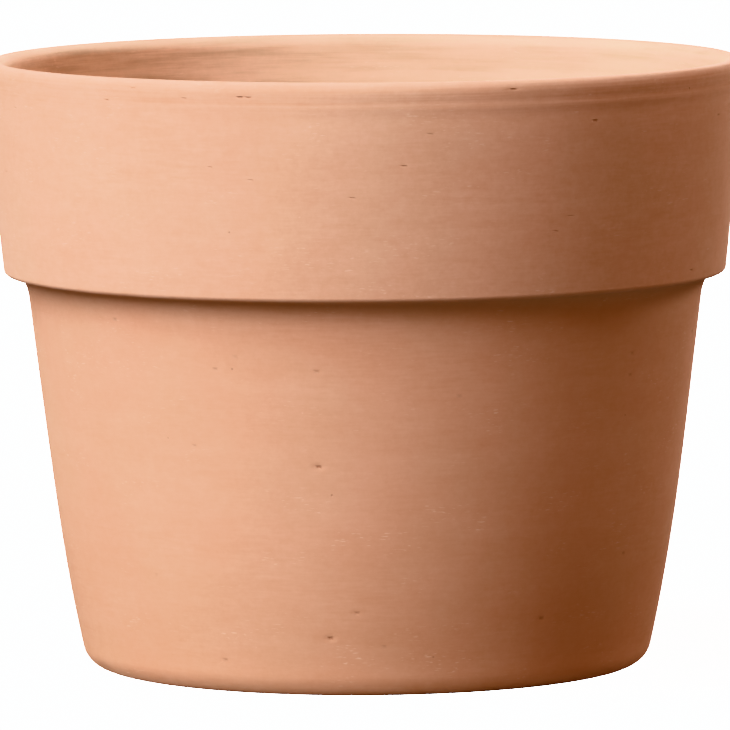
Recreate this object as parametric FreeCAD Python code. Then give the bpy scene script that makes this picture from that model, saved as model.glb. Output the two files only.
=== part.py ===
import FreeCAD, Part

import math
import os

from FreeCAD import Vector

# A terracotta plant pot in the squat "azalea" proportion: a tapering body, a deep overhanging rim
# band with a rolled lip, and one drainage hole. It is formed and fired as a single piece of clay.
# Millimetres. +Z is up, and the origin is the centre of the base on the surface the pot stands on.
# The pot is one closed outline, drawn in the XZ plane and revolved about the Z axis.

# Rim band and lip
RIM_DIAMETER = 165.0
HEIGHT = 133.4
BAND_HEIGHT = 47.0
BAND_TAPER = 3.3
BAND_BULGE = 0.35
BAND_CORNER_RADIUS = 1.2
LEDGE_WIDTH = 5.5
COVE_WIDTH = 3.4
COVE_HEIGHT = 5.2
LIP_OUTER_WIDTH = 1.1
LIP_OUTER_DROP = 2.4
LIP_INNER_RADIUS = 3.4

# Body wall: it leans out more at the base than under the rim, so that it reads as gently full
BODY_TOP_DRAFT = math.radians(7.2)
BODY_FOOT_DRAFT = math.radians(12.2)
BODY_FOOT_RADIUS = 62.4
BASE_CORNER_RADIUS = 5.6

# Inside
WALL_THICKNESS = 5.2
FLOOR_THICKNESS = 8.0
FLOOR_CORNER_RADIUS = 9.0
MOUTH_DRAFT = math.radians(12.0)

# Underside and drainage hole
FOOT_RING_WIDTH = 12.0
RECESS_DEPTH = 1.0
RECESS_SLOPE_WIDTH = 2.0
DRAIN_HOLE_RADIUS = 7.0
DRAIN_EDGE_RADIUS = 0.8

# Worked out from the dimensions above
RIM_RADIUS = RIM_DIAMETER / 2
APEX_RADIUS = RIM_RADIUS - LIP_OUTER_WIDTH
LIP_Z = HEIGHT - LIP_OUTER_DROP
LEDGE_Z = HEIGHT - BAND_HEIGHT
BAND_FOOT_RADIUS = RIM_RADIUS - BAND_TAPER
BODY_TOP_RADIUS = BAND_FOOT_RADIUS - LEDGE_WIDTH

UP = math.pi / 2
DOWN = -math.pi / 2
INWARD = math.pi

# How far along its first and last directions a cubic curve's poles lie, as a share of a quarter
# ellipse's half-width or half-height, for the curve to follow that ellipse
QUARTER_POLE = 0.55


def point(radius, z):
    return Vector(radius, 0, z)


def along(angle, length):
    """A step in the outline's plane; angles run from +X towards +Z."""
    return Vector(length * math.cos(angle), 0, length * math.sin(angle))


def arc(centre, radius, start_angle, end_angle):
    middle_angle = (start_angle + end_angle) / 2
    start = centre + along(start_angle, radius)
    middle = centre + along(middle_angle, radius)
    end = centre + along(end_angle, radius)
    return Part.Arc(start, middle, end).toShape()


def line(start, end):
    return Part.LineSegment(start, end).toShape()


def wall(foot, foot_draft, top, top_draft):
    """A cubic wall line that leaves each end at that end's own draft from the vertical."""
    third = (top.z - foot.z) / 3
    foot_pole = foot + Vector(third * math.tan(foot_draft), 0, third)
    top_pole = top - Vector(third * math.tan(top_draft), 0, third)
    curve = Part.BezierCurve()
    curve.setPoles([foot, foot_pole, top_pole, top])
    return curve.toShape()


def corner(foot, foot_draft, radius):
    """The round corner that turns from level ground up into a wall whose foot is given."""
    centre = foot - along(-foot_draft, radius)
    return arc(centre, radius, DOWN, -foot_draft), centre + along(DOWN, radius)


def cove(wall_top, draft, ledge_start):
    """The hollow corner that turns from the wall out to the flat of the ledge above it."""
    rise = QUARTER_POLE * (ledge_start.z - wall_top.z)
    reach = QUARTER_POLE * (ledge_start.x - wall_top.x)
    wall_pole = wall_top + along(UP - draft, rise)
    ledge_pole = ledge_start - Vector(reach, 0, 0)
    curve = Part.BezierCurve()
    curve.setPoles([wall_top, wall_pole, ledge_pole, ledge_start])
    return curve.toShape()


def body_foot():
    """Where the rounded base corner runs smoothly into the body wall."""
    return point(BODY_FOOT_RADIUS, BASE_CORNER_RADIUS * (1 - math.sin(BODY_FOOT_DRAFT)))


def outside():
    """Foot ring, base corner, body wall, the ledge under the rim band, the band and the lip."""
    base_corner, ring_outer = corner(body_foot(), BODY_FOOT_DRAFT, BASE_CORNER_RADIUS)
    ring_inner = ring_outer - Vector(FOOT_RING_WIDTH, 0, 0)

    body_top = point(BODY_TOP_RADIUS, LEDGE_Z - COVE_HEIGHT)
    ledge_start = point(BODY_TOP_RADIUS + COVE_WIDTH, LEDGE_Z)

    band_corner = point(BAND_FOOT_RADIUS - BAND_CORNER_RADIUS, LEDGE_Z + BAND_CORNER_RADIUS)
    ledge_end = band_corner + along(DOWN, BAND_CORNER_RADIUS)
    band_foot = point(BAND_FOOT_RADIUS, band_corner.z)
    band_top = point(RIM_RADIUS, LIP_Z)
    band_middle = (band_foot + band_top) / 2 + Vector(BAND_BULGE, 0, 0)

    lip_centre = point(APEX_RADIUS, LIP_Z)
    lip = Part.Ellipse(point(APEX_RADIUS, HEIGHT), band_top, lip_centre)
    return [
        line(ring_inner, ring_outer),
        base_corner,
        wall(body_foot(), BODY_FOOT_DRAFT, body_top, BODY_TOP_DRAFT),
        cove(body_top, BODY_TOP_DRAFT, ledge_start),
        line(ledge_start, ledge_end),
        arc(band_corner, BAND_CORNER_RADIUS, DOWN, 0),
        Part.Arc(band_foot, band_middle, band_top).toShape(),
        Part.ArcOfEllipse(lip, 0, math.pi / 2).toShape(),
    ], ring_inner


def inside():
    """From the lip's highest ring, down the inner wall, to the edge of the drainage hole."""
    lip_centre = point(APEX_RADIUS, HEIGHT - LIP_INNER_RADIUS)
    mouth_angle = INWARD - MOUTH_DRAFT
    mouth = lip_centre + along(mouth_angle, LIP_INNER_RADIUS)
    shoulder = point(BODY_TOP_RADIUS - WALL_THICKNESS, LEDGE_Z)
    foot_z = FLOOR_THICKNESS + FLOOR_CORNER_RADIUS * (1 - math.sin(BODY_FOOT_DRAFT))
    foot_rise = (foot_z - body_foot().z) * math.tan(BODY_FOOT_DRAFT)
    foot = point(BODY_FOOT_RADIUS + foot_rise - WALL_THICKNESS, foot_z)
    floor_corner, floor_edge = corner(foot, BODY_FOOT_DRAFT, FLOOR_CORNER_RADIUS)
    hole_centre = point(DRAIN_HOLE_RADIUS + DRAIN_EDGE_RADIUS, FLOOR_THICKNESS - DRAIN_EDGE_RADIUS)
    return [
        arc(lip_centre, LIP_INNER_RADIUS, UP, mouth_angle),
        wall(shoulder, BODY_TOP_DRAFT, mouth, MOUTH_DRAFT),
        wall(foot, BODY_FOOT_DRAFT, shoulder, BODY_TOP_DRAFT),
        floor_corner,
        line(floor_edge, hole_centre + along(UP, DRAIN_EDGE_RADIUS)),
        arc(hole_centre, DRAIN_EDGE_RADIUS, UP, INWARD),
    ]


def underside(ring_inner):
    """The drainage hole, then the shallow recess out to the flat foot ring."""
    top = point(DRAIN_HOLE_RADIUS, FLOOR_THICKNESS - DRAIN_EDGE_RADIUS)
    hole_centre = point(DRAIN_HOLE_RADIUS + DRAIN_EDGE_RADIUS, RECESS_DEPTH + DRAIN_EDGE_RADIUS)
    recess_start = hole_centre + along(DOWN, DRAIN_EDGE_RADIUS)
    recess_end = point(ring_inner.x - RECESS_SLOPE_WIDTH, RECESS_DEPTH)
    return [
        line(top, hole_centre + along(INWARD, DRAIN_EDGE_RADIUS)),
        arc(hole_centre, DRAIN_EDGE_RADIUS, INWARD, INWARD + math.pi / 2),
        line(recess_start, recess_end),
        line(recess_end, ring_inner),
    ]


def pot():
    outer_edges, ring_inner = outside()
    outline = Part.Wire(outer_edges + inside() + underside(ring_inner))
    return Part.Face(outline).revolve(Vector(0, 0, 0), Vector(0, 0, 1), 360)


os.makedirs("parts", exist_ok=True)
pot().exportStep("parts/pot.step")
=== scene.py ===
"""The terracotta pot's looks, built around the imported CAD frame. Metres, +Z up, base at z = 0."""

import math

import bmesh
import bpy
import numpy as np
from mathutils import Matrix, Vector


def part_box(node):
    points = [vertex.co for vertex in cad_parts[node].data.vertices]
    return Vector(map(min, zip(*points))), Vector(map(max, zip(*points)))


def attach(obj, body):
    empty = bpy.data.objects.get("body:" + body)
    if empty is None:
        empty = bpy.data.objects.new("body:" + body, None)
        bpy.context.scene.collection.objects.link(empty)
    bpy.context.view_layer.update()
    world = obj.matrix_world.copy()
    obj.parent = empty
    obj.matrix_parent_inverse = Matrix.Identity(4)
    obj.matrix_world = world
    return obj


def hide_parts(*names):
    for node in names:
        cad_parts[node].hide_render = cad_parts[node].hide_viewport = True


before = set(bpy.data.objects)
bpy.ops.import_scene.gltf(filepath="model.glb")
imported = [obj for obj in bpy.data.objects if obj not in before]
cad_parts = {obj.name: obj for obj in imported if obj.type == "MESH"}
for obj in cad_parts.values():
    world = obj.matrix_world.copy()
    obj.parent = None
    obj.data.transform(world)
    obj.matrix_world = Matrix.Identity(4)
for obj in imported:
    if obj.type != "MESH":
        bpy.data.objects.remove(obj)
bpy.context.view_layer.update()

MM = 0.001
SEED = 41

# The pot's outline. Overall size comes from the frame, and these are the design's own dimensions.
POT_LOW, POT_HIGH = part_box("pot")
HEIGHT = POT_HIGH.z - POT_LOW.z
RIM_RADIUS = (POT_HIGH.x - POT_LOW.x) / 2
BAND_HEIGHT = 47.0 * MM
BAND_TAPER = 3.3 * MM
BAND_BULGE = 0.35 * MM
BAND_CORNER_RADIUS = 1.2 * MM
LEDGE_WIDTH = 5.5 * MM
COVE_WIDTH = 3.4 * MM
COVE_HEIGHT = 5.2 * MM
LIP_OUTER_WIDTH = 1.1 * MM
LIP_OUTER_DROP = 2.4 * MM
LIP_INNER_RADIUS = 3.4 * MM
BODY_TOP_DRAFT = math.radians(7.2)
BODY_FOOT_DRAFT = math.radians(12.2)
BODY_FOOT_RADIUS = 62.4 * MM
BASE_CORNER_RADIUS = 5.6 * MM
WALL_THICKNESS = 5.2 * MM
FLOOR_THICKNESS = 8.0 * MM
FLOOR_CORNER_RADIUS = 9.0 * MM
MOUTH_DRAFT = math.radians(12.0)
FOOT_RING_WIDTH = 12.0 * MM
RECESS_DEPTH = 1.0 * MM
RECESS_SLOPE_WIDTH = 2.0 * MM
DRAIN_HOLE_RADIUS = 7.0 * MM
DRAIN_EDGE_RADIUS = 0.8 * MM

APEX_RADIUS = RIM_RADIUS - LIP_OUTER_WIDTH
LIP_Z = HEIGHT - LIP_OUTER_DROP
LEDGE_Z = HEIGHT - BAND_HEIGHT
BAND_FOOT_RADIUS = RIM_RADIUS - BAND_TAPER
BODY_TOP_RADIUS = BAND_FOOT_RADIUS - LEDGE_WIDTH

# How far the pot is out of round, as a share of its radius, and the direction of its long side.
OUT_OF_ROUND = 0.0006
OUT_OF_ROUND_TURN = 0.7

# Unevenness of the surface, from slow to fine: amount and size in mm, and how many times round the pot.
UNEVENNESS = [(0.05, 16, 7), (0.005, 3.0, 11), (0.002, 1.2, 24)]
ROUGH_UNDERSIDE = (0.05, 5, 40)

# The tool's marks round the rim: relief, distance below the top, its wandering and half-width, in mm.
TOOL_MARKS = [(-0.050, 4.4, 0.10, 0.45), (0.060, 5.6, 0.12, 0.80), (-0.045, 8.0, 0.30, 1.60)]

# The lip leans in a little above the groove: how far in mm, and where that starts and its height.
LEAN = 0.04
LEAN_BELOW_TOP = 4.4 * MM
LEAN_HEIGHT = 3.4 * MM

FINGER_RING_SPACING = 11 * MM

# Large pits: angle in degrees from the front, then height, width and depth in mm.
LARGE_PITS = [
    (-37, 131.5, 0.6, 0.12),
    (-42, 128.5, 0.4, 0.15),
    (-19.4, 130.2, 0.8, 0.20),
    (-18.1, 130.2, 0.4, 0.22),
    (-28, 129.7, 0.5, 0.12),
    (21.8, 131.3, 0.8, 0.20),
    (36.6, 123.9, 0.5, 0.15),
    (31.8, 103.8, 1.1, 0.06),
    (4.8, 115.5, 0.5, 0.12),
    (-47.5, 80.0, 0.4, 0.15),
    (-8.6, 70.8, 0.4, 0.15),
    (-8.4, 50.0, 0.6, 0.25),
    (-7.9, 12.6, 0.5, 0.25),
    (34.4, 15.3, 0.5, 0.18),
    (52, 66.8, 0.4, 0.12),
    (-32.6, 54.0, 0.4, 0.12),
]

# Small pits are strewn at random. Their widths are in mm.
SMALL_PITS = 44
SMALL_PIT_WIDTHS = (0.22, 0.50)
SMALL_PIT_DEPTH_SHARE = 0.35

# How tall every pit is, the width of the slope round it, and the depth at which its painted shade is
# full.
PIT_HEIGHT = 0.34 * MM
PIT_EDGE = 0.05 * MM
FULL_PIT_SHADE_DEPTH = 0.40 * MM

# Chips in the edge that the pot stands on: angle in degrees from +X, width and depth.
BASE_CHIPS = [(201, 2.6 * MM, 0.30 * MM), (38, 3.5 * MM, 0.35 * MM), (115, 2.4 * MM, 0.45 * MM)]
CHIP_HALF_HEIGHT = 1.5 * MM

# Mesh fineness: columns round the pot, the spacing of the rows along the outline, and the points
# that each curve of the outline is first drawn with.
COLUMNS = 280
BODY_ROW = 0.95 * MM
BAND_ROW = 0.52 * MM
LIP_ROW = 0.34 * MM
INSIDE_ROW = 2.0 * MM
FLOOR_ROW = 2.0 * MM
CURVE_STEPS = 60

UP = math.pi / 2
DOWN = -math.pi / 2
INWARD = math.pi

# How far along its first and last directions a cubic curve's poles lie, as a share of a quarter
# ellipse's half-width or half-height, for the curve to follow that ellipse.
QUARTER_POLE = 0.55


# ---------------------------------------------------------------- the outline

def arc(centre, widths, start_angle, end_angle):
    """Points on an elliptical arc in (radius, z); widths are its half-width and half-height."""
    angles = np.linspace(start_angle, end_angle, CURVE_STEPS)
    across = centre[0] + widths[0] * np.cos(angles)
    up = centre[1] + widths[1] * np.sin(angles)
    return np.stack([across, up], 1)


def cubic(start, start_pole, end_pole, end):
    """Points on a cubic curve from its end points and the two poles between them."""
    t = np.linspace(0, 1, CURVE_STEPS)[:, None]
    weights = np.hstack([(1 - t) ** 3, 3 * t * (1 - t) ** 2, 3 * t**2 * (1 - t), t**3])
    return weights @ np.array([start, start_pole, end_pole, end])


def wall(foot, foot_draft, top, top_draft):
    """A cubic wall line that leaves each end at that end's own draft from the vertical."""
    third = (top[1] - foot[1]) / 3
    foot_pole = (foot[0] + third * math.tan(foot_draft), foot[1] + third)
    top_pole = (top[0] - third * math.tan(top_draft), top[1] - third)
    return cubic(foot, foot_pole, top_pole, top)


def cove(wall_top, draft, ledge_start):
    """The hollow corner that turns from the wall out to the flat of the ledge above it."""
    rise = QUARTER_POLE * (ledge_start[1] - wall_top[1])
    reach = QUARTER_POLE * (ledge_start[0] - wall_top[0])
    wall_pole = (wall_top[0] + rise * math.sin(draft), wall_top[1] + rise * math.cos(draft))
    return cubic(wall_top, wall_pole, (ledge_start[0] - reach, ledge_start[1]), ledge_start)


def straight(start, end):
    t = np.linspace(0, 1, CURVE_STEPS)[:, None]
    return np.array(start) * (1 - t) + np.array(end) * t


def corner_under(foot, draft, radius):
    """The round corner from level ground up into a wall whose foot is given."""
    centre = (foot[0] - radius * math.cos(draft), foot[1] + radius * math.sin(draft))
    return arc(centre, (radius, radius), DOWN, -draft)


def body_foot():
    """Where the rounded base corner runs smoothly into the body wall."""
    return (BODY_FOOT_RADIUS, BASE_CORNER_RADIUS * (1 - math.sin(BODY_FOOT_DRAFT)))


def outside():
    """The foot ring, base corner, body wall, ledge, rim band and the lip's outer side."""
    base_corner = corner_under(body_foot(), BODY_FOOT_DRAFT, BASE_CORNER_RADIUS)
    ring_outer = base_corner[0]
    ring_inner = ring_outer - (FOOT_RING_WIDTH, 0)

    body_top = (BODY_TOP_RADIUS, LEDGE_Z - COVE_HEIGHT)
    ledge_start = (BODY_TOP_RADIUS + COVE_WIDTH, LEDGE_Z)
    corner_centre = (BAND_FOOT_RADIUS - BAND_CORNER_RADIUS, LEDGE_Z + BAND_CORNER_RADIUS)
    band_corner = arc(corner_centre, (BAND_CORNER_RADIUS, BAND_CORNER_RADIUS), DOWN, 0)
    band = straight(band_corner[-1], (RIM_RADIUS, LIP_Z))
    share = np.linspace(0, 1, CURVE_STEPS)
    band[:, 0] += BAND_BULGE * 4 * share * (1 - share)
    return [
        ("foot_ring", FLOOR_ROW, straight(ring_inner, ring_outer)),
        ("base_corner", BODY_ROW, base_corner),
        ("body", BODY_ROW, wall(body_foot(), BODY_FOOT_DRAFT, body_top, BODY_TOP_DRAFT)),
        ("ledge", LIP_ROW, cove(body_top, BODY_TOP_DRAFT, ledge_start)),
        ("ledge", LIP_ROW, straight(ledge_start, band_corner[0])),
        ("band_corner", LIP_ROW / 2, band_corner),
        ("band", BAND_ROW, band),
        ("lip", LIP_ROW, arc((APEX_RADIUS, LIP_Z), (LIP_OUTER_WIDTH, LIP_OUTER_DROP), 0, UP)),
    ], ring_inner


def inside():
    """The lip's inner side, the inner wall and the round corner down to the floor."""
    lip_centre = (APEX_RADIUS, HEIGHT - LIP_INNER_RADIUS)
    lip = arc(lip_centre, (LIP_INNER_RADIUS, LIP_INNER_RADIUS), UP, INWARD - MOUTH_DRAFT)
    shoulder = (BODY_TOP_RADIUS - WALL_THICKNESS, LEDGE_Z)
    foot_z = FLOOR_THICKNESS + FLOOR_CORNER_RADIUS * (1 - math.sin(BODY_FOOT_DRAFT))
    foot_rise = (foot_z - body_foot()[1]) * math.tan(BODY_FOOT_DRAFT)
    foot = (BODY_FOOT_RADIUS + foot_rise - WALL_THICKNESS, foot_z)
    floor_corner = corner_under(foot, BODY_FOOT_DRAFT, FLOOR_CORNER_RADIUS)[::-1]
    return [
        ("lip", LIP_ROW, lip),
        ("inside", INSIDE_ROW, wall(shoulder, BODY_TOP_DRAFT, lip[-1], MOUTH_DRAFT)[::-1]),
        ("inside", INSIDE_ROW, wall(foot, BODY_FOOT_DRAFT, shoulder, BODY_TOP_DRAFT)[::-1]),
        ("inside", INSIDE_ROW, floor_corner),
    ], floor_corner[-1]


def floor_and_hole(floor_edge, ring_inner):
    """The floor, the drainage hole with its rounded edges, and the recess out to the foot ring."""
    rounding = (DRAIN_EDGE_RADIUS, DRAIN_EDGE_RADIUS)
    edge_radius = DRAIN_HOLE_RADIUS + DRAIN_EDGE_RADIUS
    hole_top = arc((edge_radius, FLOOR_THICKNESS - DRAIN_EDGE_RADIUS), rounding, UP, INWARD)
    hole_foot = arc((edge_radius, RECESS_DEPTH + DRAIN_EDGE_RADIUS), rounding, INWARD, INWARD + UP)
    recess_end = (ring_inner[0] - RECESS_SLOPE_WIDTH, RECESS_DEPTH)
    return [
        ("floor", FLOOR_ROW, straight(floor_edge, hole_top[0])),
        ("drain", LIP_ROW, hole_top),
        ("drain", INSIDE_ROW, straight(hole_top[-1], hole_foot[0])),
        ("drain", LIP_ROW, hole_foot),
        ("recess", FLOOR_ROW, straight(hole_foot[-1], recess_end)),
        ("recess", FLOOR_ROW, straight(recess_end, ring_inner)),
    ]


def outline():
    """The closed outline as (region, row spacing, points), from the foot ring round to the recess."""
    outer, ring_inner = outside()
    inner, floor_edge = inside()
    return outer + inner + floor_and_hole(floor_edge, ring_inner)


class Rows:
    """The outline resampled into mesh rows: radius, z, outward normal, distance run and region."""

    def __init__(self, pieces):
        points, names = [], []
        for name, spacing, curve in pieces:
            lengths = np.linalg.norm(np.diff(curve, axis=0), axis=1)
            run = np.concatenate([[0], np.cumsum(lengths)])
            count = max(2, round(run[-1] / spacing))
            at = np.linspace(0, run[-1], count, endpoint=False)
            points.append(np.stack([np.interp(at, run, axis) for axis in curve.T], 1))
            names += [name] * count
        self.points = np.concatenate(points)
        self.names = np.array(names)
        ahead = np.roll(self.points, -1, 0)
        behind = np.roll(self.points, 1, 0)
        along = ahead - behind
        along /= np.linalg.norm(along, axis=1)[:, None]
        self.normals = np.stack([along[:, 1], -along[:, 0]], 1)
        steps = np.linalg.norm(np.diff(self.points, axis=0), axis=1)
        self.run = np.concatenate([[0], np.cumsum(steps)])
        self.radius, self.z = self.points.T

    def of(self, *names):
        """True for the rows of the named regions."""
        return np.isin(self.names, names)


# ---------------------------------------------------------------- the relief

# Smoothing flattens the random knots, and this brings the noise back to about -1 to 1.
NOISE_GAIN = 1.6


def spline_weights(f):
    """What each of four neighbouring knots counts, a share f of the way between the middle two."""
    first = (1 - f) ** 3 / 6
    second = (3 * f**3 - 6 * f**2 + 4) / 6
    third = (-3 * f**3 + 3 * f**2 + 3 * f + 1) / 6
    return first, second, third, f**3 / 6


def smooth_noise(rng, run, angle, run_step, lobes):
    """Smooth random relief on grids of run and angle, closed round the pot; about -1 to 1."""
    rows = int(run.max() / run_step) + 5
    knots = rng.standard_normal((rows, lobes))
    u = run / run_step + 1
    v = angle / (2 * math.pi) * lobes
    row, column = np.floor(u).astype(int), np.floor(v).astype(int)
    total = np.zeros(run.shape)
    for i, wu in enumerate(spline_weights(u - row)):
        for j, wv in enumerate(spline_weights(v - column)):
            total += wu * wv * knots[np.clip(row + i - 1, 0, rows - 1), (column + j - 1) % lobes]
    return total * NOISE_GAIN


def bead(place, centre, half_width):
    """A soft round bump of height 1 where place is near centre."""
    return np.exp(-(((place - centre) / half_width) ** 2))


def tool_marks(rows, z, rng, run, turn):
    """The groove, bead and hollow that the tool leaves round the rim, and the lean above them."""
    wander = smooth_noise(rng, 0 * run, turn, 1.0, 6) * MM
    strength = 0.75 + 0.45 * smooth_noise(rng, 0 * run, turn, 1.0, 7)
    marks = -LEAN * np.clip((z - HEIGHT + LEAN_BELOW_TOP) / LEAN_HEIGHT, 0, 1) ** 2
    for height, below, wandering, half_width in TOOL_MARKS:
        marks += height * bead(z, HEIGHT - below * MM + wandering * wander, half_width * MM)
    faces_out = rows.normals[:, :1] > 0
    return MM * marks * strength * (rows.of("lip", "band")[:, None] & faces_out)


def finger_rings(rows, rng, run, turn):
    """Soft wandering rings on the inner wall and floor, from pressing the clay while it turned."""
    wander = 1.3 * smooth_noise(rng, run, turn, 18 * MM, 5)
    phase = 2 * math.pi * run / FINGER_RING_SPACING + turn + wander
    depth = 0.07 + 0.05 * smooth_noise(rng, run, turn, 22 * MM, 6)
    fade = np.interp(rows.z, [0, 8 * MM, HEIGHT - 16 * MM, HEIGHT - 8 * MM], [1, 1, 1, 0])
    return MM * np.sin(phase) * depth * (rows.of("inside", "floor") * fade)[:, None]


def drain_burr(rows, rng, run, turn):
    """The ragged edge of a hole punched through soft clay."""
    ragged = 0.16 * smooth_noise(rng, run, turn, 1.2 * MM, 26)
    ragged += 0.12 * smooth_noise(rng, run, turn, 3 * MM, 9)
    from_hole = rows.radius - DRAIN_HOLE_RADIUS
    near = np.interp(from_hole, [0.9 * MM, 3.5 * MM], [1, 0]) * rows.of("drain", "floor", "recess")
    pushed_up = 0.22 * bead(from_hole, 1.9 * MM, 0.9 * MM) * rows.of("recess")
    return MM * (ragged * near[:, None] + pushed_up[:, None] * (1 + ragged * 3))


def base_chips(rows, turn):
    """Small pieces lost from the edge that the pot stands on."""
    middle = rows.run[rows.of("base_corner")].mean() + 0.8 * MM
    across = bead(rows.run, middle, CHIP_HALF_HEIGHT)[:, None]
    off = np.zeros_like(turn)
    for place, width, depth in BASE_CHIPS:
        apart = (turn - math.radians(place) + math.pi) % (2 * math.pi) - math.pi
        off -= depth * across * bead(apart * BODY_FOOT_RADIUS, 0, width)
    return off


def relief(rows, angle):
    """How far the fired surface stands off the plain outline at each row and column."""
    rng = np.random.default_rng(SEED)
    run, turn = np.meshgrid(rows.run, angle, indexing="ij")
    z = rows.z[:, None] * np.ones_like(turn)
    off = np.zeros_like(turn)
    for amount, size, lobes in UNEVENNESS:
        off += amount * MM * smooth_noise(rng, run, turn, size * MM, lobes)
    amount, size, lobes = ROUGH_UNDERSIDE
    underside = rows.of("recess", "drain")[:, None]
    off += amount * MM * smooth_noise(rng, run, turn, size * MM, lobes) * underside
    off += tool_marks(rows, z, rng, run, turn)
    off += finger_rings(rows, rng, run, turn)
    off += drain_burr(rows, rng, run, turn)
    off += base_chips(rows, turn)
    return off * ~rows.of("foot_ring")[:, None]


# ---------------------------------------------------------------- the piece

def lathe(rows, angle):
    """The closed mesh: one ring of vertices for each row, with the relief on it."""
    off = relief(rows, angle)
    radius = rows.radius[:, None] + off * rows.normals[:, :1]
    z = rows.z[:, None] + off * rows.normals[:, 1:]
    radius = radius * (1 + OUT_OF_ROUND * np.cos(2 * angle + OUT_OF_ROUND_TURN))
    points = np.stack([radius * np.cos(angle), radius * np.sin(angle), z], -1).reshape(-1, 3)

    count = len(rows.run)
    row, column = np.meshgrid(np.arange(count), np.arange(COLUMNS), indexing="ij")
    above, beside = (row + 1) % count, (column + 1) % COLUMNS
    corners = [(row, column), (row, beside), (above, beside), (above, column)]
    faces = np.stack([r * COLUMNS + c for r, c in corners], -1).reshape(-1, 4)
    mesh = bpy.data.meshes.new("terracotta_pot")
    mesh.from_pydata(points.tolist(), [], faces.tolist())
    return mesh


def column_at(degrees):
    """The mesh column at an angle round the pot: 0 faces the front, and positive is to the right."""
    return round((degrees - 90) / 360 * COLUMNS) % COLUMNS


def pit_faces(rows):
    """Face number to (width, depth): large pits by place, then small ones strewn over the outside."""
    outer = rows.of("base_corner", "body", "band") | (rows.of("lip") & (rows.normals[:, 0] > 0))
    heights = np.where(outer, rows.z, -1)
    pits = {}
    for degrees, height, width, depth in LARGE_PITS:
        row = int(np.argmin(np.abs(heights - height * MM)))
        pits[row * COLUMNS + column_at(degrees)] = (width * MM, depth * MM)
    rng = np.random.default_rng(SEED + 1)
    walls = np.flatnonzero(outer)
    for row, column in zip(rng.choice(walls, SMALL_PITS), rng.integers(0, COLUMNS, SMALL_PITS)):
        width = rng.uniform(*SMALL_PIT_WIDTHS) * MM
        pits.setdefault(int(row) * COLUMNS + int(column), (width, width * SMALL_PIT_DEPTH_SHARE))
    return pits


def sink_pits(mesh, pits):
    """Insets each pit's face, sizes it and pushes it into the clay. The pit attribute holds each pit's
    painted shade, darker the deeper it sinks.
    """
    bm = bmesh.new()
    bm.from_mesh(mesh)
    bm.faces.ensure_lookup_table()
    bm.normal_update()
    run_layer = bm.verts.layers.float["run"]
    pit_shade_layer = bm.verts.layers.float.new("pit")
    chosen = [(bm.faces[number], *size) for number, size in sorted(pits.items())]
    for face, width, depth in chosen:
        run = sum(vert[run_layer] for vert in face.verts) / len(face.verts)
        centre, normal = face.calc_center_median(), face.normal.copy()
        around = Vector((-centre.y, centre.x, 0)).normalized()
        up = normal.cross(around)
        bmesh.ops.inset_individual(bm, faces=[face], thickness=PIT_EDGE)
        for vert in face.verts:
            side = math.copysign(width / 2, (vert.co - centre).dot(around))
            rise = math.copysign(PIT_HEIGHT / 2, (vert.co - centre).dot(up))
            vert.co = centre + around * side + up * rise - normal * depth
            vert[run_layer] = run
            # The pit value is painted shade, darker the deeper the pit.
            vert[pit_shade_layer] = min(1.0, depth / FULL_PIT_SHADE_DEPTH)
    bm.to_mesh(mesh)
    bm.free()


def inner_side(rows):
    """0 on the outside, rising to 1 just inside the lip and staying there as far as the hole."""
    inner = np.interp(rows.radius, [APEX_RADIUS - 2.5 * MM, APEX_RADIUS], [1, 0])
    return inner * (rows.of("inside", "floor") | (rows.of("lip") & (rows.normals[:, 0] < 0)))


# How worn the top of the lip is, and how far along the outline the wear of the other edges reaches.
LIP_WEAR = 0.7
LIP_WEAR_DEPTH = 1.2 * MM
WORN_EDGES = {"band_corner": 1.0 * MM, "base_corner": 2.6 * MM, "drain": 1.2 * MM}


def edge_wear(rows):
    """1 on the rounded edges that hands and shelves rub, falling away to either side."""
    wear = LIP_WEAR * bead(rows.z, HEIGHT, LIP_WEAR_DEPTH)
    for name, reach in WORN_EDGES.items():
        middle = rows.run[rows.of(name)].mean()
        wear = np.maximum(wear, bead(rows.run, middle, reach))
    return wear


def rim_band(rows):
    """1 on the rim band and lip, fading in over the band's lowest 2 mm."""
    fade = np.interp(rows.z, [LEDGE_Z, LEDGE_Z + 2 * MM], [0, 1])
    return fade * rows.of("band_corner", "band", "lip")


def pot():
    """The whole pot as one mesh object, with the attributes that its material reads."""
    rows = Rows(outline())
    mesh = lathe(rows, np.linspace(0, 2 * math.pi, COLUMNS, endpoint=False))
    regions = {
        "run": rows.run,
        "wear": edge_wear(rows),
        "inside": inner_side(rows),
        "band": rim_band(rows),
    }
    for name, values in regions.items():
        attribute = mesh.attributes.new(name, "FLOAT", "POINT")
        attribute.data.foreach_set("value", np.repeat(values, COLUMNS).astype(np.float32))
    sink_pits(mesh, pit_faces(rows))
    mesh.validate()
    mesh.shade_smooth()
    piece = bpy.data.objects.new("terracotta_pot", mesh)
    bpy.context.scene.collection.objects.link(piece)
    return piece


# ---------------------------------------------------------------- materials

DEEP_CLAY = (0.545, 0.253, 0.147)
PALE_CLAY = (0.700, 0.395, 0.280)
# The inside clay is a paler, greyer copy of the outer clay: painted light for the brighter, whiter
# light on the inner wall.
DEEP_INSIDE = (0.450, 0.270, 0.175)
PALE_INSIDE = (0.700, 0.430, 0.305)
BLUSH = (1.02, 0.98, 0.98)
FLECK_COLOUR = (0.80, 0.54, 0.41)
FLECK_STRENGTH = 0.45
# Painted shade for the pits and pinholes: its dark colour and how far it is mixed in.
PIT_SHADE_COLOUR = (0.16, 0.062, 0.03)
PIT_SHADE_STRENGTH = 0.62
SPECULAR = 0.3

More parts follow.
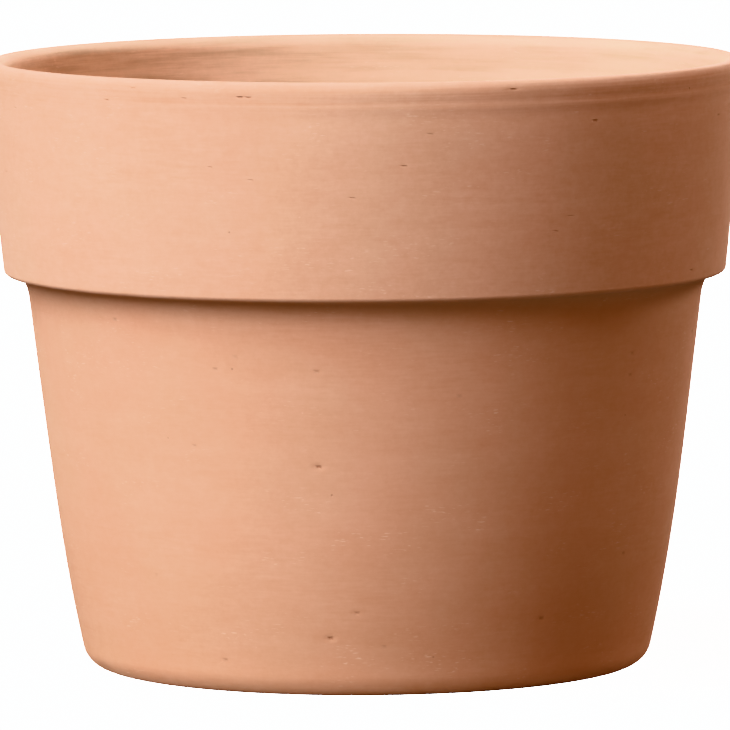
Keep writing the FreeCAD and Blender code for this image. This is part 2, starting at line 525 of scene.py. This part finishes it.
# The colour runs from deep (0) to pale (1). This is where it starts, and how far each mark moves it.
BASE_TONE = 0.44
TONE = {
    "broad": 0.08,
    "blotch": 0.08,
    "fine_tone": 1.0,
    "scored": -0.10,
    "nick": 0.18,
    "pale_speck": 0.3,
    "turned_line": 0.12,
    "stain": -0.15,
    # painted shade in the groove under the lip
    "groove": -0.16,
    "inner_streak": 0.10,
    "rubbed": 0.22,
    "band": 0.2,
    # painted shade, darker towards the foot
    "foot": -0.2,
    # dark smears inside, partly painted shade under the lip
    "inner_smear_and_shade": -0.52,
    # paler inside clay, painted light on the inner wall
    "inside": 0.19,
}

# What the fine tone is made of. It counts for FINE_SHARE, and for FINE_SHARE_BAND more on the rim band.
FINE_TONE = {
    "long_streak": 0.042,
    "patchy_dash": 0.075,
    "fine_dash": 0.05,
    "mottle": 0.06,
    "grain": 0.055,
    "fine_grain": 0.035,
}
FINE_SHARE = 0.80
FINE_SHARE_BAND = 0.30

BASE_ROUGHNESS = 0.83
ROUGHNESS = {
    "broad": 0.03,
    "dash": 0.03,
    "grain": 0.03,
    "rubbed": -0.10,
    "nick": -0.08,
    "hollow": 0.08,
}

# How far each mark raises the surface, in mm.
BUMP = {
    "patchy_dash": 0.0006,
    "fine_dash": 0.0002,
    "long_streak": 0.0005,
    "grain": 0.0008,
    "fine_grain": 0.0004,
    "fleck": 0.0012,
    "turned_line": 0.005,
    "scored": -0.006,
    "nick": 0.007,
    "pinhole": -0.05,
    "inner_smear_and_shade": 0.03,
    "inner_streak": 0.03,
}


class Nodes:
    """A short way to write the node tree of a material or world. Sizes are in metres."""

    # How far apart two seeds lie in a texture, along each axis.
    SEED_STEP = (3.7, 5.3, 2.9)

    # A noise texture's factor keeps near its middle, and this spreads it to about -1 to 1.
    NOISE_MIDDLE = 0.5
    NOISE_SPREAD = 4.0

    def __init__(self, owner):
        owner.use_nodes = True
        self.tree = owner.node_tree
        self.tree.nodes.clear()

    def add(self, kind, inputs=(), **settings):
        """A new node. An input is another node's output, to be linked, or a value; colours are RGB."""
        node = self.tree.nodes.new(kind)
        for name, value in settings.items():
            setattr(node, name, value)
        for name, value in dict(inputs).items():
            socket = node.inputs[name]
            if isinstance(value, bpy.types.NodeSocket):
                self.tree.links.new(value, socket)
            elif socket.type == "RGBA":
                socket.default_value = (*value, 1)
            else:
                socket.default_value = value
        return node

    def math(self, operation, a, b=0.0, clamp=False):
        node = self.add("ShaderNodeMath", {0: a, 1: b}, operation=operation, use_clamp=clamp)
        return node.outputs[0]

    def times(self, a, b):
        return self.math("MULTIPLY", a, b)

    def total(self, *terms):
        """The sum of value * amount over (value, amount) pairs."""
        result = 0.0
        for value, amount in terms:
            result = self.math("ADD", result, self.times(value, amount))
        return result

    def step(self, value, low, high):
        """0 at low, 1 at high, smooth between them and level beyond them."""
        inputs = {"Value": value, "From Min": low, "From Max": high}
        node = self.add("ShaderNodeMapRange", inputs, interpolation_type="SMOOTHSTEP")
        return node.outputs["Result"]

    def blend(self, factor, a, b, mode="MIX"):
        """A mix of two colours, by the Mix node's colour sockets: inputs 6 and 7, and output 2."""
        inputs = {0: factor, 6: a, 7: b}
        return self.add("ShaderNodeMix", inputs, data_type="RGBA", blend_type=mode).outputs[2]

    def placed(self, coordinates, size, seed, turned=0.0):
        """Coordinates turned about Y, shrunk so that 1 is the given size, and moved by the seed."""
        turn = {"Vector": coordinates, "Rotation": (0, turned, 0)}
        shrink = {
            "Vector": self.add("ShaderNodeMapping", turn).outputs[0],
            "Scale": tuple(1 / length for length in size),
            "Location": tuple(seed * step for step in self.SEED_STEP),
        }
        return self.add("ShaderNodeMapping", shrink).outputs[0]

    def noise(self, coordinates, size, seed, detail=1.0, turned=0.0):
        """Noise of the given size along each axis, about -1 to 1."""
        at = self.placed(coordinates, size, seed, turned)
        texture = self.add("ShaderNodeTexNoise", {"Vector": at, "Scale": 1.0, "Detail": detail})
        centred = self.math("SUBTRACT", texture.outputs["Fac"], self.NOISE_MIDDLE)
        return self.times(centred, self.NOISE_SPREAD)

    def specks(self, coordinates, spacing, radius, share, seed):
        """1 at scattered round points. share is how many of the cells hold one."""
        at = self.placed(coordinates, (spacing,) * 3, seed)
        cells = self.add("ShaderNodeTexVoronoi", {"Vector": at, "Scale": 1.0, "Randomness": 1.0})
        reach = radius / spacing
        close = self.step(cells.outputs["Distance"], reach, reach * 0.3)
        pick = self.add("ShaderNodeSeparateColor", {0: cells.outputs["Color"]}).outputs[0]
        return self.times(close, self.math("LESS_THAN", pick, share))

    def by_ray(self, to_camera, to_pot):
        """One shader as the camera sees it, and another as it lights the pot."""
        seen = self.add("ShaderNodeLightPath").outputs["Is Camera Ray"]
        shaders = {0: seen, 1: to_pot.outputs[0], 2: to_camera.outputs[0]}
        return self.add("ShaderNodeMixShader", shaders).outputs[0]


class ClayNodes(Nodes):
    """The pot's tree, with its coordinates and the mesh's own values. Its own methods take mm."""

    def __init__(self, owner):
        super().__init__(owner)
        self.position = self.add("ShaderNodeTexCoord").outputs["Object"]
        x, y, self.z = self.add("ShaderNodeSeparateXYZ", {0: self.position}).outputs
        self.wear, self.inside, self.band, self.pit, run = (
            self.add("ShaderNodeAttribute", attribute_name=name).outputs["Fac"]
            for name in ("wear", "inside", "band", "pit", "run")
        )
        self.strip = self.add("ShaderNodeCombineXYZ", {0: x, 1: y, 2: run}).outputs[0]

    def even(self, size, seed, detail=1.0):
        """Noise of one size all ways."""
        return self.noise(self.position, (size * MM,) * 3, seed, detail)

    def streak(self, length, width, seed, detail=1.0):
        """Noise drawn out round the pot to a length, with its width measured along the outline."""
        return self.noise(self.strip, (length * MM, length * MM, width * MM), seed, detail)

    def spots(self, spacing, radius, share, seed):
        return self.specks(self.position, spacing * MM, radius * MM, share, seed)

    def sum_of(self, marks, amounts):
        """Each of the named marks times its amount, added up."""
        return self.total(*((marks[name], amount) for name, amount in amounts.items()))


def turning_marks(n):
    """Streaks and dashes that run round the pot, the mottle and grain of the clay, and painted shade
    that darkens the lowest 50 mm towards the foot.
    """
    dash = n.streak(7, 0.8, 5)
    patch = n.step(n.streak(30, 12, 3), -0.3, 0.7)
    return {
        "broad": n.even(55, 1, 2.0),
        "blotch": n.streak(17, 8, 2, 2.0),
        "mottle": n.even(2.2, 21),
        "grain": n.even(0.9, 7),
        "fine_grain": n.even(0.35, 8),
        "long_streak": n.streak(34, 2.2, 4, 2.0),
        "dash": dash,
        "patchy_dash": n.times(dash, n.math("ADD", 0.45, patch)),
        "fine_dash": n.streak(2.6, 0.42, 6),
        # Painted shade: the clay darkens from 50 mm above the ground down to 4 mm.
        "foot": n.step(n.z, 50 * MM, 4 * MM),
    }


def damage_marks(n):
    """Scored lines, slanting nicks, pinholes, specks, raised flecks, rubbed edges, and painted shade in
    the pinholes and pits.
    """
    slanting = n.noise(n.position, (3.2 * MM, 3.2 * MM, 0.5 * MM), 11, turned=math.radians(38))
    flecks = n.step(n.streak(1.8, 0.32, 16), 0.5, 1.05)
    pinhole = n.spots(7, 0.34, 0.16, 13)
    return {
        "scored": n.step(n.streak(60, 0.9, 10), 0.95, 1.35),
        "nick": n.times(n.step(slanting, 1.0, 1.3), n.step(n.even(16, 12), 0.2, 0.8)),
        "pinhole": pinhole,
        # Painted shade in the pinholes and pits, which also makes them rougher.
        "hollow": n.math("MAXIMUM", n.times(pinhole, 0.6), n.pit),
        "pale_speck": n.spots(5, 0.3, 0.12, 14),
        "rubbed": n.times(n.wear, n.step(n.streak(9, 3, 15, 2.0), -0.8, 0.6)),
        "fleck": n.times(flecks, n.step(n.streak(14, 7, 17), 0.0, 0.9)),
    }


def rim_marks(n):
    """Fine turned lines and stains on the lip, and a painted shade line along the groove under it."""
    lip = n.step(n.z, HEIGHT - 9 * MM, HEIGHT - 4 * MM)
    above_groove = n.times(n.step(n.z, HEIGHT - 8 * MM, HEIGHT - 4 * MM), n.band)
    under_edge = n.times(n.step(n.z, HEIGHT - 0.3 * MM, HEIGHT - 1.4 * MM), above_groove)
    # Painted shade: a dark line where the groove is, broken up by a long streak.
    off_groove = n.math("ABSOLUTE", n.math("SUBTRACT", n.z, HEIGHT - 4.5 * MM))
    groove = n.times(n.step(off_groove, 0.45 * MM, 0.05 * MM), n.step(n.streak(38, 4, 22), -0.7, 0.5))
    return {
        "turned_line": n.times(n.streak(45, 0.4, 18, 2.0), lip),
        "stain": n.times(n.step(n.streak(32, 1.1, 26, 2.0), -0.6, 0.8), under_edge),
        "groove": n.times(groove, n.band),
        "band": n.band,
    }


def inner_marks(n):
    """Soft streaks and dark smears on the inner wall. The smears are partly painted shade under the
    lip, so they are strongest in the top 22 mm and weaker lower down.
    """
    smear_and_shade = n.step(n.streak(24, 1.7, 9, 3.0), -0.5, 0.9)
    # The dark smears are also painted shade under the lip, so they are strongest near the top.
    near_top = n.step(n.z, HEIGHT - 45 * MM, HEIGHT - 22 * MM)
    fade = n.math("ADD", 0.3, n.times(0.7, near_top))
    return {
        # The paler inside tone is painted light on the inner wall.
        "inside": n.inside,
        "inner_smear_and_shade": n.times(n.times(n.inside, smear_and_shade), fade),
        "inner_streak": n.times(n.inside, n.streak(40, 5.5, 23, 2.0)),
    }


def clay_colour(n, marks):
    """Deep to pale clay by the marks, blushed in places, with its flecks, and painted shade in its pits
    and pinholes.
    """
    share = n.total((n.band, FINE_SHARE_BAND), (1.0, FINE_SHARE))
    marks["fine_tone"] = n.times(n.sum_of(marks, FINE_TONE), share)
    tone = n.math("ADD", n.sum_of(marks, TONE), BASE_TONE, clamp=True)
    outer = n.blend(tone, DEEP_CLAY, PALE_CLAY)
    # The inside's paler copy of the clay is painted light.
    inner = n.blend(tone, DEEP_INSIDE, PALE_INSIDE)
    colour = n.blend(n.inside, outer, inner)
    blushed = n.blend(1.0, colour, BLUSH, "MULTIPLY")
    colour = n.blend(n.step(n.even(24, 19, 2.0), -0.9, 0.9), colour, blushed)
    colour = n.blend(n.times(marks["fleck"], FLECK_STRENGTH), colour, FLECK_COLOUR)
    # Painted shade darkens the pits and pinholes.
    return n.blend(n.times(marks["hollow"], PIT_SHADE_STRENGTH), colour, PIT_SHADE_COLOUR)


def clay_material():
    """Unglazed fired clay: matt, with fine turning streaks, mottling, grain, pits and paler edges."""
    material = bpy.data.materials.new("fired_terracotta")
    n = ClayNodes(material)
    marks = {**turning_marks(n), **damage_marks(n), **rim_marks(n), **inner_marks(n)}
    bump = n.add("ShaderNodeBump", {"Height": n.sum_of(marks, BUMP), "Distance": MM, "Strength": 1.0})
    surface = {
        "Base Color": clay_colour(n, marks),
        "Roughness": n.math("ADD", n.sum_of(marks, ROUGHNESS), BASE_ROUGHNESS, clamp=True),
        "Normal": bump.outputs[0],
        "Specular IOR Level": SPECULAR,
    }
    shader = n.add("ShaderNodeBsdfPrincipled", surface)
    n.add("ShaderNodeOutputMaterial", {"Surface": shader.outputs["BSDF"]})
    return material


# ---------------------------------------------------------------- the studio

KEY_COLOUR = (0.88, 0.975, 1.0)
TOP_COLOUR = (0.45, 0.88, 1.0)
FILL_COLOUR = (1.0, 0.98, 0.9)
ROOM_COLOUR = (0.325, 0.117, 0.035)
WHITE = (1.0, 1.0, 1.0)
BLACK = (0.0, 0.0, 0.0)

# A lamp of this strength lights a white surface that faces it to 1.
SUN_UNIT = math.pi

# How bright the backdrop and the floor look to the camera.
SWEEP_STRENGTH = 12.0

# The share of its light that the floor gives back to the pot, within reach of the base and beyond.
FLOOR_BOUNCE_NEAR = 0.34
FLOOR_BOUNCE = 0.1
FLOOR_BOUNCE_REACH = 74 * MM
FLOOR_BOUNCE_COLOUR = (1.0, 0.86, 0.76)
FLOOR_HALF_WIDTH = 20.0
FLOOR_GAP = 0.05 * MM

# Name, azimuth and elevation in degrees, strength, angular size in radians, colour. Azimuth 0 is the
# camera's side, and positive is to the right.
LIGHTS = [
    ("key", -50, 38, 2.0, 0.9, KEY_COLOUR),
    ("top_left", -70, 60, 0.85, 0.45, TOP_COLOUR),
    ("right", 125, 24, 0.5, 0.3, FILL_COLOUR),
    ("behind", 165, 25, 0.9, 0.45, FILL_COLOUR),
]

# Metres and radians; the lens and the sensor's width are in mm.
CAMERA_DISTANCE = 2.1833
CAMERA_SIDE = -0.00014
CAMERA_HEIGHT = 0.2795
CAMERA_PITCH = 0.09763
CAMERA_ROLL = -0.0056
CAMERA_LENS = 492.8
CAMERA_SENSOR = 36.0
CAMERA_CLIP_END = 100


def studio_lights():
    """A large soft key in front and to the left, helped from above, and weaker lights behind."""
    for name, azimuth, elevation, strength, size, colour in LIGHTS:
        data = bpy.data.lights.new(name, "SUN")
        data.angle = size
        data.energy = strength * SUN_UNIT
        data.color = colour
        light = bpy.data.objects.new(name, data)
        bpy.context.scene.collection.objects.link(light)
        turn = math.radians(azimuth)
        rise = math.radians(elevation)
        level = math.cos(rise)
        towards = Vector((math.sin(turn) * level, -math.cos(turn) * level, math.sin(rise)))
        light.location = towards
        light.rotation_mode = "QUATERNION"
        light.rotation_quaternion = towards.to_track_quat("Z", "Y")


def studio_world():
    """White to the camera, and a dim warm room to the pot."""
    world = bpy.data.worlds.new("studio")
    bpy.context.scene.world = world
    n = Nodes(world)
    room = n.add("ShaderNodeBackground", {"Color": ROOM_COLOUR})
    white = n.add("ShaderNodeBackground", {"Color": WHITE, "Strength": SWEEP_STRENGTH})
    n.add("ShaderNodeOutputWorld", {"Surface": n.by_ray(to_camera=white, to_pot=room)})


def floor_material():
    """A white sweep to the camera, and paper that gives back little light, and warm, to the pot."""
    material = bpy.data.materials.new("pale_floor")
    n = Nodes(material)
    position = n.add("ShaderNodeNewGeometry").outputs["Position"]
    away = n.add("ShaderNodeVectorMath", {0: position}, operation="LENGTH").outputs["Value"]
    near_pot = n.step(away, FLOOR_BOUNCE_REACH, BODY_FOOT_RADIUS)
    share = n.total((near_pot, FLOOR_BOUNCE_NEAR - FLOOR_BOUNCE), (1.0, FLOOR_BOUNCE))
    paper = n.add("ShaderNodeBsdfDiffuse", {"Color": n.blend(share, BLACK, FLOOR_BOUNCE_COLOUR)})
    white = n.add("ShaderNodeBsdfDiffuse", {"Color": WHITE})
    glow = n.add("ShaderNodeEmission", {"Color": WHITE, "Strength": SWEEP_STRENGTH})
    sweep = n.add("ShaderNodeAddShader", {0: white.outputs[0], 1: glow.outputs[0]})
    n.add("ShaderNodeOutputMaterial", {"Surface": n.by_ray(to_camera=sweep, to_pot=paper)})
    return material


def studio_floor():
    """A wide flat floor, a hair below the pot's base."""
    half = FLOOR_HALF_WIDTH
    mesh = bpy.data.meshes.new("floor")
    corners = [(-half, -half, 0), (half, -half, 0), (half, half, 0), (-half, half, 0)]
    mesh.from_pydata(corners, [], [(0, 1, 2, 3)])
    floor = bpy.data.objects.new("floor", mesh)
    floor.location.z = -FLOOR_GAP
    bpy.context.scene.collection.objects.link(floor)
    floor.data.materials.append(floor_material())


def camera():
    """A long lens, a little above the rim, looking along +Y and down."""
    data = bpy.data.cameras.new("camera")
    data.lens = CAMERA_LENS
    data.sensor_width = CAMERA_SENSOR
    data.clip_end = CAMERA_CLIP_END
    eye = bpy.data.objects.new("camera", data)
    bpy.context.scene.collection.objects.link(eye)
    place = Matrix.Translation((CAMERA_SIDE, -CAMERA_DISTANCE, CAMERA_HEIGHT))
    pitch = Matrix.Rotation(math.pi / 2 - CAMERA_PITCH, 4, "X")
    roll = Matrix.Rotation(CAMERA_ROLL, 4, "Z")
    eye.matrix_world = place @ pitch @ roll
    bpy.context.scene.camera = eye


piece = pot()
piece.data.materials.append(clay_material())
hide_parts("pot")
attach(piece, "root")

studio_lights()
studio_world()
studio_floor()
camera()
bpy.context.scene.view_settings.view_transform = "Khronos PBR Neutral"
